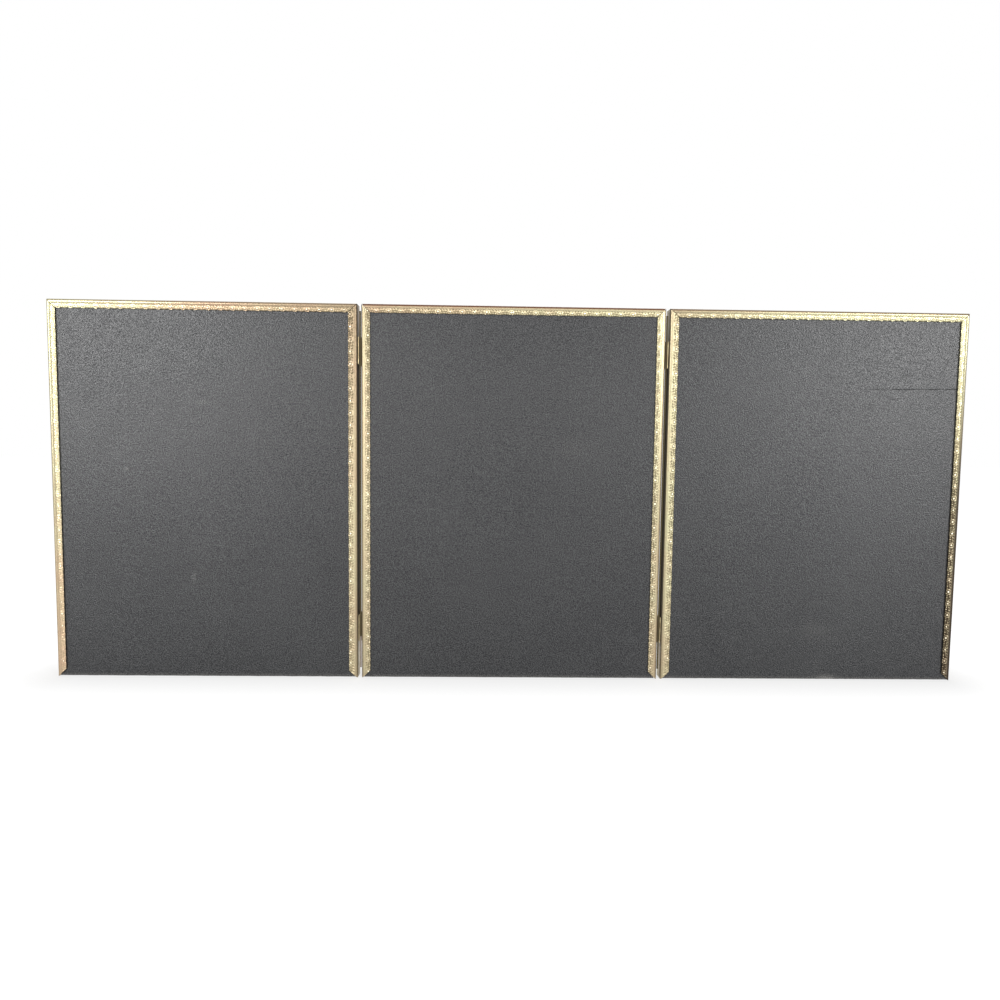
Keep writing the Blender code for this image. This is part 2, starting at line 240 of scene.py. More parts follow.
def embossedBrass(name, look):
    # Colour: pale brass to copper tan by the strip's tarnish, painted reflection and cloudy noise, to brown
    # by painted shade, to olive or nearly black in the recesses of the relief by their stain, which is patina
    # and painted shade of the relief, nearly white on its peaks, which is polish and painted highlight,
    # reddish brown on the rounded outer edge, and matt black painted shade on the walls in the gaps and on
    # one rim.
    # Roughness rises in the recesses.
    material, shader = newMaterial(name, look["roughness"], 1.0)
    place = objectPlace(material)
    clouds = noiseOf(material, place, 14 * mm, 3)
    specks = noiseOf(material, place, 1.1 * mm, 3)
    grain = noiseOf(material, place, 0.35 * mm, 2)
    paintedBlackShade = attribute(material, "paintedBlackShade")
    paintedShade = attribute(material, "paintedShade")
    stainAndShade = attribute(material, "stainAndShade")
    speckled = mapped(material, specks, 0.3, 0.7, -0.18, 0.18)
    uneven = maths(material, "ADD", attribute(material, "relief"), speckled)
    sunk = maths(material, "SUBTRACT", uneven, mapped(material, stainAndShade, 0.6, 1.0, 0, 0.22))
    clouded = mapped(material, clouds, 0.3, 0.7, -0.22, 0.22)
    tarnishAndReflection = maths(material, "ADD", attribute(material, "tarnishAndReflection"), clouded)
    # Pale to tan: tarnish and painted reflection
    colour = mixed(material, mapped(material, tarnishAndReflection, 0, 1, 0, 1), look["pale"], look["tan"])
    colour = mixed(material, mapped(material, specks, 0.45, 0.70, 0, 0.40), colour, look["recess"])
    # Painted shade: brown where the rail's brass is painted darker
    colour = mixed(material, mapped(material, paintedShade, 0, 1, 0, 0.62), colour, look["paintedShade"])
    # Recesses darkened: patina and painted shade of the relief
    deep = maths(material, "MULTIPLY", mapped(material, sunk, 0.08, 0.56, 1.0, 0.0, True), stainAndShade)
    dirtAndShade = mixed(material, mapped(material, stainAndShade, 0.55, 1.0, 0, 1), look["recess"], look["stainedAndShaded"])
    colour = mixed(material, deep, colour, dirtAndShade)
    # Peaks brightened: polish and painted highlight
    peak = maths(material, "MULTIPLY", mapped(material, uneven, 0.70, 1.0, 0.0, 0.95, True),
                 mapped(material, paintedShade, 0, 1, 1, 0.85))
    colour = mixed(material, peak, colour, look["polishAndHighlight"])
    colour = mixed(material, attribute(material, "rim"), colour, look["rim"])
    # Painted black shade: matt and dark on the walls in the gaps and on one rim
    colour = mixed(material, paintedBlackShade, colour, look["paintedShadeColour"])
    link(material, colour, shader.inputs["Base Color"])
    dull = maths(material, "ADD", mapped(material, specks, 0.3, 0.7, -0.05, 0.10),
                 mapped(material, deep, 0, 1, look["roughness"], look["roughness"] + 0.18))
    link(material, maths(material, "MAXIMUM", dull, paintedBlackShade), shader.inputs["Roughness"])
    link(material, maths(material, "SUBTRACT", 1.0, paintedBlackShade), shader.inputs["Metallic"])
    link(material, mapped(material, paintedBlackShade, 0, 1, 0.5, 0.05), shader.inputs["Specular IOR Level"])
    link(material, bumped(material, grain, 0.03 * mm, 0.5), shader.inputs["Normal"])
    return material


def plainMetal(name, light, dark, roughness):
    # Unpolished metal: two colours mixed by cloudy noise and by streaks along Z, which are its bump as well;
    # roughness follows the clouds
    material, shader = newMaterial(name, roughness, 1.0)
    place = objectPlace(material)
    streaks = noiseOf(material, scaledPlace(material, place, (1, 1, 0.08)), 0.25 * mm, 2)
    clouds = noiseOf(material, place, 4 * mm, 4)
    share = maths(material, "ADD", mapped(material, clouds, 0.35, 0.7, 0, 0.8),
                  mapped(material, streaks, 0.4, 0.7, 0, 0.3))
    link(material, mixed(material, share, light, dark), shader.inputs["Base Color"])
    dull = mapped(material, clouds, 0.3, 0.7, roughness - 0.08, roughness + 0.14)
    link(material, dull, shader.inputs["Roughness"])
    link(material, bumped(material, streaks, 0.02 * mm, 0.6), shader.inputs["Normal"])
    return material


cardLook = {
    "dark": (0.0, 0.0, 0.002, 1),
    "light": (0.035, 0.036, 0.037, 1),
    "worn": (0.17, 0.165, 0.155, 1),
    "scored": (0.005, 0.005, 0.005, 1),
    "grain": 0.75 * mm,
    "roughness": 0.33,
}


def pebbledCard(name, look):
    # Charcoal card: dark and light grey mixed by a 0.75 mm grain, 12 mm mottling, 90 mm clouds and long
    # fibres; rubbed places are lighter and scored ones darker, by the board's own attributes. The bump is the
    # pebbles and the grain.
    material, shader = newMaterial(name, look["roughness"])
    place = objectPlace(material)
    pebbles = addNode(material, "ShaderNodeTexVoronoi", {"Vector": place, "Scale": 1 / look["grain"]},
                      feature="SMOOTH_F1").outputs["Distance"]
    grain = noiseOf(material, place, look["grain"], 3)
    mottle = noiseOf(material, place, 12 * mm, 3)
    clouds = noiseOf(material, place, 90 * mm, 2)
    fibres = noiseOf(material, scaledPlace(material, place, (0.25, 1, 1.6)), 2.2 * mm, 2)
    share = maths(material, "ADD", mapped(material, grain, 0.30, 0.70, -0.10, 0.88),
                  mapped(material, mottle, 0.3, 0.7, 0.0, 0.06))
    share = maths(material, "ADD", share, mapped(material, clouds, 0.3, 0.7, -0.04, 0.16))
    share = maths(material, "ADD", share, mapped(material, fibres, 0.45, 0.75, 0.0, 0.14))
    colour = mixed(material, share, look["dark"], look["light"])
    rubbed = maths(material, "MULTIPLY", attribute(material, "rubbed"),
                   mapped(material, grain, 0.35, 0.6, 0.25, 1.0))
    colour = mixed(material, rubbed, colour, look["worn"])
    colour = mixed(material, attribute(material, "scored"), colour, look["scored"])
    link(material, colour, shader.inputs["Base Color"])
    link(material, mapped(material, mottle, 0.3, 0.7, look["roughness"] - 0.015, look["roughness"] + 0.03),
         shader.inputs["Roughness"])
    height = maths(material, "ADD", mapped(material, pebbles, 0, 0.6, 1, 0),
                   mapped(material, grain, 0.3, 0.7, 0, 0.7))
    gloss = maths(material, "MULTIPLY", mapped(material, grain, 0.37, 0.63, 0.30, 0.68),
                  mapped(material, attribute(material, "scored"), 0, 1, 1, 0.1))
    link(material, gloss, shader.inputs["Specular IOR Level"])
    link(material, bumped(material, height, 0.11 * mm, 0.8), shader.inputs["Normal"])
    return material


def paperSheet(name, light, dark, grainSize, roughness, speck):
    # Matt paper or greyboard: two tones mixed by crossing fibres and 40 mm clouds, with sparse darker specks;
    # the fibres are its bump
    material, shader = newMaterial(name, roughness)
    place = objectPlace(material)
    along = noiseOf(material, scaledPlace(material, place, (1, 1, 0.2)), grainSize, 3)
    across = noiseOf(material, scaledPlace(material, place, (0.2, 1, 1)), grainSize, 3)
    fibres = maths(material, "MULTIPLY", along, across)
    clouds = noiseOf(material, place, 40 * mm, 2)
    share = maths(material, "ADD", mapped(material, fibres, 0.15, 0.4, 0, 0.7),
                  mapped(material, clouds, 0.3, 0.7, 0, 0.3))
    colour = mixed(material, share, light, dark)
    specks = mapped(material, noiseOf(material, place, 1.6 * mm, 1), 0.70, 0.78, 0, speck)
    colour = mixed(material, specks, colour, tuple(0.45 * c for c in dark[:3]) + (1,))
    link(material, colour, shader.inputs["Base Color"])
    link(material, bumped(material, fibres, 0.03 * mm, 0.4), shader.inputs["Normal"])
    return material


def pictureGlass(name):
    # Clear glass with a faint greenish tint and smears that dull it a little
    material, shader = newMaterial(name, 0.03)
    shader.inputs["Base Color"].default_value = (0.93, 0.97, 0.95, 1)
    shader.inputs["Transmission Weight"].default_value = 1.0
    shader.inputs["IOR"].default_value = 1.5
    place = objectPlace(material)
    smears = noiseOf(material, place, 30 * mm, 4, 0.6, 0.8)
    link(material, mapped(material, smears, 0.45, 0.75, 0.015, 0.07), shader.inputs["Roughness"])
    return material


brass = embossedBrass("embossedBrass", brassLook)
hingeBrass = plainMetal("dullHingeBrass", (0.60, 0.50, 0.29, 1), (0.30, 0.22, 0.12, 1), 0.38)
# Dark brass for the hinge leaves on the centre panel
darkLeafBrass = plainMetal("darkHingeBrass", (0.10, 0.08, 0.05, 1), (0.03, 0.024, 0.016, 1), 0.50)
pinMetal = plainMetal("platedPinSteel", (0.50, 0.47, 0.40, 1), (0.26, 0.23, 0.18, 1), 0.36)
blackCard = pebbledCard("blackPebbledCard", cardLook)
paper = paperSheet("plainPaper", (0.80, 0.79, 0.74, 1), (0.72, 0.70, 0.64, 1), 0.7 * mm, 0.85, 0.15)
greyCard = paperSheet("greyboard", (0.30, 0.27, 0.22, 1), (0.20, 0.175, 0.14, 1), 1.2 * mm, 0.9, 0.6)
glass = pictureGlass("pictureGlass")
print("materials made")


# Rails: the rolled strip, whose back lip and front band carry an embossed scroll

strip = {
    "thickness": 0.6 * mm,
    "frontLip": 9.5 * mm,
    "backLip": 6.0 * mm,
    "depth": 11.6 * mm,
    "frontEdgeRadius": 1.2 * mm,
    "backEdgeRadius": 1.6 * mm,
    "ridge": 0.9 * mm,
    "valleyDepth": 1.3 * mm,
    "valleySlope": 0.6 * mm,
    "frontArch": 0.8 * mm,
    "beadRadius": 0.95 * mm,
    "beadDepth": 0.5 * mm,
    "mouldingDepth": 2.0 * mm,
    "backArch": 0.4 * mm,
    "backFlat": 0.5 * mm,
    "mitreSeam": 0.3 * mm,
    "step": 0.32 * mm,
}
scroll = {
    "period": 16.5 * mm,
    "band": 3.9 * mm,
    "backHeight": 0.32 * mm,
    "frontHeight": 0.32 * mm,
    "scallop": 0.10 * mm,
    "scallopsPerPeriod": 4,
    "scallopStart": 0.72,
    "bandFade": 0.10,
}
# The scroll's forms: places, widths and rings in mm, heights as shares of the whole. Small beads are (place
# along, width), and leaves are (start, reach).
forms = {
    "vine": {"middle": 1.75, "swing": 0.55, "width": 0.28, "height": 0.62},
    "bossMiddle": 2.5,
    "rosette": {"width": 0.78, "ring": 1.55, "ringWidth": 0.26, "ringHeight": 0.75},
    "bead": {"width": 0.85, "ring": 1.65, "ringWidth": 0.28, "ringHeight": 0.8},
    "smallBeads": ((2.5, 0.42), (4.1, 0.56), (5.6, 0.40)),
    "smallBeadMiddle": 3.30,
    "smallBeadHeight": 0.80,
    "leaves": ((0.7, 0.9), (2.6, 1.1), (4.6, 0.8), (6.5, 1.0)),
    "leafTip": 0.35,
    "leafWidth": 0.42,
    "leafHeight": 0.66,
    "dents": 0.25,
    "highest": 1.1,
}
# Relief, stain, painted shade and painted black shade of the strip: depths are from the front plane, widths
# from the outer edge
wearAndShade = {
    "plainRelief": 0.56,
    "insideRelief": 0.6,
    "plainStainAndShade": 0.6,
    "plainTarnish": 0.4,
    "bandEdge": (0.03, 0.40),
    "bendDepth": (8.0 * mm, 10.0 * mm),
    "backDepth": (5 * mm, 8 * mm),
    "rimWidth": (1.0 * mm, 2.1 * mm),
    "rimPaintedShade": 0.35,
    "frontPaintedShade": 0.25,
    "rimShadeWidth": (2.0 * mm, 2.7 * mm),
    "wallEdge": (0.05 * mm, 0.7 * mm),
    "wallShade": 0.82,
    "footShade": 0.2,
    "footReach": (10 * mm, 45 * mm),
    "topLoss": 0.45,
    "topReach": (45 * mm, 8 * mm),
}


def arcPoints(centre, radius, start, end, steps):
    angle = np.radians(np.linspace(start, end, steps + 1))
    return np.stack([centre[0] + radius * np.cos(angle), centre[1] + radius * np.sin(angle)], axis=1)


def archPoints(start, end, rise, steps):
    # Straight line from start to end, with sin(pi t) times rise added to its depth
    t = np.linspace(0, 1, steps + 1)
    line = np.array(start) + (np.array(end) - np.array(start)) * t[:, None]
    line[:, 1] += rise * np.sin(math.pi * t)
    return line


def sectionPath(s, fine, openBack):
    # Section of the strip as (inward, depth) from the sight edge, over the front and the wall, to the back
    # lip's free edge; fine is the number of steps for each 1 mm. The second result gives each point's share
    # of the front band, and the third of the back band: 0 at its outer side, 1 at its free side, or -1.
    def steps(length):
        return max(3, round(fine * length / mm))
    beadX = s["frontLip"] - s["beadRadius"]
    bandStart = (beadX - s["beadRadius"], s["valleyDepth"])
    bandEnd = (s["frontEdgeRadius"] + s["ridge"] + s["valleySlope"], s["valleyDepth"])
    bandWidth = bandStart[0] - bandEnd[0]
    bead = arcPoints((beadX, s["beadDepth"] + s["beadRadius"]), s["beadRadius"], 0, -180,
                     steps(math.pi * s["beadRadius"]) + 2)[:-1]
    band = archPoints(bandStart, bandEnd, -s["frontArch"], steps(bandWidth))
    corner = arcPoints((s["frontEdgeRadius"],) * 2, s["frontEdgeRadius"], 270, 180,
                       steps(1.6 * s["frontEdgeRadius"]) + 2)
    ridge = np.array([[s["frontEdgeRadius"] + s["ridge"], 0.0]])
    parts = [np.array([[s["frontLip"], s["mouldingDepth"]]]), bead, band, ridge, corner]
    front = [-np.ones(1 + len(bead)), np.linspace(1, 0, len(band)), -np.ones(1 + len(corner))]
    back = [-np.ones(sum(len(part) for part in parts))]
    if openBack:
        parts.append(np.array([[0.0, s["mouldingDepth"]]]))
        front.append(-np.ones(1))
        back.append(-np.ones(1))
        return np.concatenate(parts), np.concatenate(front), np.concatenate(back)
    wallEnd = s["depth"] - s["backEdgeRadius"]
    wall = np.stack([np.zeros(6), np.linspace(s["frontEdgeRadius"], wallEnd, 7)[1:]], axis=1)[:-1]
    rounded = arcPoints((s["backEdgeRadius"], wallEnd), s["backEdgeRadius"], 180, 90,
                        steps(1.6 * s["backEdgeRadius"]) + 2)
    backStart = (s["backEdgeRadius"] + s["backFlat"], s["depth"])
    backEnd = (s["backLip"], s["depth"])
    backBand = archPoints(backStart, backEnd, s["backArch"], steps(backEnd[0] - backStart[0]))
    parts += [wall, rounded, backBand]
    plain = len(wall) + len(rounded)
    front.append(-np.ones(plain + len(backBand)))
    back += [-np.ones(plain), np.linspace(0, 1, len(backBand))]
    return np.concatenate(parts), np.concatenate(front), np.concatenate(back)


def pathNormals(path):
    # At each point, the mean of the two segments' inner normals (depth step, -inward step), scaled so that an
    # offset along it stays at the same distance from both segments
    step = np.diff(path, axis=0)
    unit = step / np.linalg.norm(step, axis=1)[:, None]
    normal = np.stack([unit[:, 1], -unit[:, 0]], axis=1)
    before = np.concatenate([normal[:1], normal])
    after = np.concatenate([normal, normal[-1:]])
    return (before + after) / (1 + (before * after).sum(axis=1))[:, None]


def embossing(along, across, s, f, phase):
    # Height of the scroll, as a share of its relief, at a place along the strip and a share across its band.
    # One period has a vine that waves as a cosine, a ringed rosette in one bend, a ringed bead in the other,
    # small beads between them along the free edge, and slanted leaves that turn over at each bend. Each form
    # is a ridge exp(-(distance / width)^2), and the highest form counts. Slow dents make repeats unlike each
    # other; with them the height stays between 0 and the highest share.
    period = s["period"] / mm
    a = np.mod(along / mm + phase * period, period)
    b = across * s["band"] / mm

    def wrapped(centre):
        return np.mod(a - centre + period / 2, period) - period / 2

    def ridge(distance, width):
        return np.exp(-(distance / width) ** 2)

    def leaf(a0, b0, a1, b1, width):
        x = wrapped(a0)
        y = b - b0
        da, db = a1 - a0, b1 - b0
        t = np.clip((x * da + y * db) / (da * da + db * db), 0, 1)
        return ridge(np.hypot(x - t * da, y - t * db), width * (1.2 - 0.6 * t))

    swing = 2 * math.pi / period
    vine = f["vine"]
    vineB = vine["middle"] + vine["swing"] * np.cos(swing * a)
    slope = vine["swing"] * swing * np.sin(swing * a)
    height = vine["height"] * ridge((b - vineB) / np.sqrt(1 + slope ** 2), vine["width"])
    for boss, centre in ((f["rosette"], 0.0), (f["bead"], period / 2)):
        distance = np.hypot(wrapped(centre), b - f["bossMiddle"])
        height = np.maximum(height, ridge(distance, boss["width"]))
        height = np.maximum(height, boss["ringHeight"] * ridge(distance - boss["ring"], boss["ringWidth"]))
    for side in (-1, 1):
        for centre, size in f["smallBeads"]:
            distance = np.hypot(wrapped(side * centre), b - f["smallBeadMiddle"])
            height = np.maximum(height, f["smallBeadHeight"] * ridge(distance, size))
        for start, reach in f["leaves"]:
            shape = leaf(side * start, vine["middle"], side * (start + reach), f["leafTip"], f["leafWidth"])
            height = np.maximum(height, f["leafHeight"] * shape)
    place = across * s["band"]
    dents = softNoise(along, place, 2.2 * mm, 5) * softNoise(along, place, 3.4 * mm, 6)
    height = np.clip(height + f["dents"] * dents, 0, f["highest"])
    return height * smoothStep(0, s["bandFade"], across)


def railEnds(kind, width, height, s):
    # How far each end reaches from the rail's middle, as a function of the inward place: mitres lose as much
    # as they go inwards, and the foot of a side rail keeps its wall square
    setback = s["mitreSeam"] / math.sqrt(2)

    def topMitre(inward):
        return width / 2 - inward - setback

    def bottomMitre(inward):
        return width / 2 - s["thickness"] - inward - 2 * setback

    def sideMitre(inward):
        return height / 2 - inward - setback

    def sideFoot(inward):
        return height / 2 - np.maximum(0.0, inward - s["thickness"])
    return {"top": (topMitre, topMitre), "bottom": (bottomMitre, bottomMitre),
            "left": (sideFoot, sideMitre), "right": (sideMitre, sideFoot)}[kind]


# How tarnished each rail's start, middle and end are, which is tarnish and painted reflection, and how much
# painted shade each has, in the order of its length:
# a top rail from -X to +X, a left rail upwards, a right rail downwards, a bottom rail from +X to -X.
# The stain table says how dark its recesses are, by stain and painted shade of the relief. rimOf says how far
# the rounded outer edge turns reddish brown, the next table how far a rim is painted black as shade, and the
# last names the walls that face a hinge, which carry painted black shade. The bottom rails have the plain
# values.
# All were set by comparing tones with the photograph, rail by rail.
# Tarnish and painted reflection of each rail at its start, middle and end
tarnishAndReflectionOf = {
    "left_wing_top_rail": (0.0, 0.05, 0.40),
    "left_wing_right_rail": (0.25, 0.15, 0.35),
    "left_wing_left_rail": (0.60, 0.35, 0.0),
    "centre_top_rail": (0.20, 0.40, 0.85),
    "centre_right_rail": (0.35, 0.45, 0.45),
    "centre_left_rail": (0.50, 0.30, 0.05),
    "right_wing_top_rail": (0.75, 0.85, 0.0),
    "right_wing_right_rail": (0.0, 0.35, 1.0),
    "right_wing_left_rail": (0.50, 0.45, 0.80),
}
# Painted shade of each rail's brass at its start, middle and end, from 0 to 1
paintedShadeOf = {
    "left_wing_left_rail": (0.62, 0.55, 0.0),
    "left_wing_right_rail": (0.34, 0.50, 0.26),
    "left_wing_top_rail": (0.24, 0.14, 0.55),
    "centre_left_rail": (0.22, 0.64, 0.45),
    "centre_right_rail": (0.88, 0.48, 0.26),
    "centre_top_rail": (0.0, 0.0, 0.12),
    "right_wing_left_rail": (0.30, 0.54, 0.78),
    "right_wing_top_rail": (0.78, 0.42, 0.0),
    "right_wing_right_rail": (0.05, 0.42, 0.16),
}
# Stain and painted shade in each rail's recesses at its start, middle and end
stainAndShadeOf = {
    "left_wing_left_rail": (1.0, 0.95, 0.5),
    "left_wing_right_rail": (0.78, 0.80, 0.70),
    "left_wing_top_rail": (0.66, 0.58, 0.66),
    "centre_left_rail": (0.72, 0.78, 0.60),
    "centre_right_rail": (0.80, 0.74, 0.72),
    "centre_top_rail": (0.74, 0.76, 0.78),
    "right_wing_left_rail": (0.70, 0.74, 0.90),
    "right_wing_top_rail": (0.60, 0.55, 0.35),
    "right_wing_right_rail": (0.36, 0.28, 0.25),
}
rimOf = {
    "centre_top_rail": 1.0,
    "left_wing_top_rail": 0.6,
    "left_wing_left_rail": 0.3,
    "right_wing_top_rail": 0.15,
    "left_wing_right_rail": 0.10,
    "centre_left_rail": 0.25,
    "centre_right_rail": 0.08,
    "right_wing_left_rail": 0.14,
}
# Painted black shade on one rail's rim at its start, middle and end, and the walls in the gaps that get it
paintedShadeRims = {"left_wing_left_rail": (0.95, 0.85, 0.0)}
paintedShadeWalls = ("left_wing_right_rail", "centre_left_rail", "centre_right_rail", "right_wing_left_rail")


def embossedRail(panel, kind, s, pattern, phase):
    name = panel + "_" + kind + "_rail"
    low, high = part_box(panel + "_top_rail")
    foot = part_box(panel + "_left_rail")[0].z
    width, height = high.x - low.x, high.z - foot
    middleX, middleZ, front = (low.x + high.x) / 2, (high.z + foot) / 2, low.y
    directions = {
        "top": ((middleX, high.z), (1, 0), (0, -1)),
        "bottom": ((middleX, foot), (-1, 0), (0, 1)),
        "left": ((low.x, middleZ), (0, 1), (1, 0)),
        "right": ((high.x, middleZ), (0, -1), (-1, 0)),
    }
    origin, lengthways, inwards = (np.array(v, float) for v in directions[kind])
    start, finish = railEnds(kind, width, height, s)
    length = width if kind in ("top", "bottom") else height
    t = np.linspace(0, 1, round(length / s["step"]))[:, None]

    def skin(path, lifted):
        # Point = origin + lengthways * x + inwards * inward, at depth behind the front plane; x runs from one
        # mitre to the other, and a lifted skin moves along its outer normal by the scroll's height
        points, frontShare, backShare = path
        inward, depth = points[:, 0][None, :], points[:, 1][None, :]
        x = -start(inward) + (start(inward) + finish(inward)) * t
        edge = smoothStep(pattern["scallopStart"], 1.0, backShare)[None, :] * pattern["scallop"]
        scallop = pattern["period"] / pattern["scallopsPerPeriod"]
        inward = inward + edge * (np.cos(2 * math.pi * x / scallop) - 0.5)
        height = np.zeros_like(x)
        if lifted:
            onFront, onBack = frontShare >= 0, backShare >= 0
            height[:, onFront] = embossing(x[:, onFront], frontShare[onFront], pattern, forms, phase)
            height[:, onBack] = embossing(x[:, onBack], backShare[onBack], pattern, forms, phase)
            lift = np.where(onBack, pattern["backHeight"], pattern["frontHeight"]) * height
            out = -pathNormals(points)
            inward = inward + lift * out[:, 0]
            depth = depth + lift * out[:, 1]
        else:
            depth = np.broadcast_to(depth, x.shape)
        inward = np.broadcast_to(inward, x.shape)
        flat = origin[None, None] + lengthways * x[..., None] + inwards * inward[..., None]
        return np.stack([flat[..., 0], front + depth, flat[..., 1]], axis=-1), height, x

    openBack = kind == "bottom"
    finePath = sectionPath(s, 3.0, openBack)
    coarse = sectionPath(s, 1.4, openBack)
    outer, outerHeight, outerX = skin(finePath, True)
    insetPoints = coarse[0] + pathNormals(coarse[0]) * s["thickness"]
    inner, innerHeight, innerX = skin((insetPoints, coarse[1], coarse[2]), False)
    points, quads, triangles = closedSweep(outer, inner)

    # Relief for the colour: one value on plain strip, the scroll's height on the bands, and a blend at their
    # outer side
    onBand = smoothStep(*wearAndShade["bandEdge"], np.maximum(finePath[1], finePath[2]))[None, :]
    relief = wearAndShade["plainRelief"] + (outerHeight - wearAndShade["plainRelief"]) * onBand
    share = (np.concatenate([outerX, innerX[:, ::-1]], axis=1) / length + 0.5).ravel()
    relief = np.concatenate([relief, np.full(innerHeight.shape, wearAndShade["insideRelief"])], axis=1).ravel()
    tarnishAndReflection = np.interp(share, (0, 0.5, 1), tarnishAndReflectionOf.get(name, (wearAndShade["plainTarnish"],) * 3))
    paintedShade = np.interp(share, (0, 0.5, 1), paintedShadeOf.get(name, (0, 0, 0)))
    stainAndShade = np.interp(share, (0, 0.5, 1), stainAndShadeOf.get(name, (wearAndShade["plainStainAndShade"],) * 3))

    # The rim is the rounded corner between wall and back lip. Painted black shade covers a wall that faces a
    # hinge, and is thinner within 45 mm of its ends, or the rim of one listed rail. At the front, the painted
    # shade is a quarter as strong, and stain is that of plain strip.
    depthOf = points[:, 1] - front
    inwardOf = np.concatenate([np.broadcast_to(finePath[0][:, 0], outerHeight.shape),
                               np.broadcast_to(insetPoints[::-1, 0], innerHeight.shape)], axis=1).ravel()
    bent = smoothStep(*wearAndShade["bendDepth"], depthOf)
    atRim = bent * (1 - smoothStep(*wearAndShade["rimWidth"], inwardOf))
    rim = atRim * rimOf.get(name, 0.0)
    atBack = smoothStep(*wearAndShade["backDepth"], depthOf)
    paintedShade = paintedShade * (wearAndShade["frontPaintedShade"] + (1 - wearAndShade["frontPaintedShade"]) * atBack) + wearAndShade["rimPaintedShade"] * atRim
    stainAndShade = wearAndShade["plainStainAndShade"] + (stainAndShade - wearAndShade["plainStainAndShade"]) * atBack
    shadedRim = np.interp(share, (0, 0.5, 1), paintedShadeRims.get(name, (0, 0, 0)))
    paintedBlackShade = shadedRim * bent * (1 - smoothStep(*wearAndShade["rimShadeWidth"], inwardOf))
    if name in paintedShadeWalls:
        onWall = 1 - smoothStep(*wearAndShade["wallEdge"], inwardOf)
        above = points[:, 2] - foot
        worn = wearAndShade["footShade"] + (1 - wearAndShade["footShade"]) * smoothStep(*wearAndShade["footReach"], above)
        nearTop = smoothStep(height - wearAndShade["topReach"][0], height - wearAndShade["topReach"][1], above)
        paintedBlackShade = wearAndShade["wallShade"] * onWall * worn * (1 - wearAndShade["topLoss"] * nearTop)
    values = {"relief": relief, "tarnishAndReflection": tarnishAndReflection, "paintedShade": paintedShade, "stainAndShade": stainAndShade, "paintedBlackShade": paintedBlackShade, "rim": rim}
    piece = addPiece("embossed_" + name, points, quads, triangles, brass, panel, values)
    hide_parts(name)
    return piece


faceCount = 0
for panelNumber, panel in enumerate(panelNames):
    for kindNumber, kind in enumerate(("top", "bottom", "left", "right")):
        rail = embossedRail(panel, kind, strip, scroll, 0.37 * panelNumber + 0.21 * kindNumber)
        faceCount += 2 * len(rail.data.polygons)
print("rails embossed:", faceCount, "triangles or so")


# Backing boards: black pebbled card with rounded, rubbed edges, a slight warp and the marks of use

board = {
    "edgeRound": 0.3 * mm,
    "columnStep": 2.0 * mm,
    "rowStep": 2.0 * mm,
    "warp": 0.10 * mm,
    "edgeWaver": 0.12 * mm,
    "rubbedEdge": 1.0 * mm,
    "edgeRub": 0.75,
    "scoreDepth": 0.12 * mm,
    "scoreWidth": 0.30 * mm,
    "sharpAngle": 50.0,
}
# Marks in metres, x from the frame's middle and z above the floor: scored lines as (x0, x1, z, slope), rubbed
# spots as (x, z, width, height, strength)
scoredLines = {"left_wing": [(-0.3085, -0.2320, 0.2051, -0.018)], "centre": [], "right_wing": []}
rubbedSpots = {
    "left_wing": [(-0.2162, 0.0346, 0.012, 0.006, 0.12), (-0.2239, 0.001, 0.006, 0.002, 0.9)],
    "centre": [(-0.0436, 0.1611, 0.014, 0.008, 0.07)],
    "right_wing": [(0.2630, 0.1437, 0.0012, 0.001, 0.7), (0.2103, 0.1894, 0.004, 0.001, 0.3),
                   (0.2183, 0.0696, 0.001, 0.003, 0.4)],
}


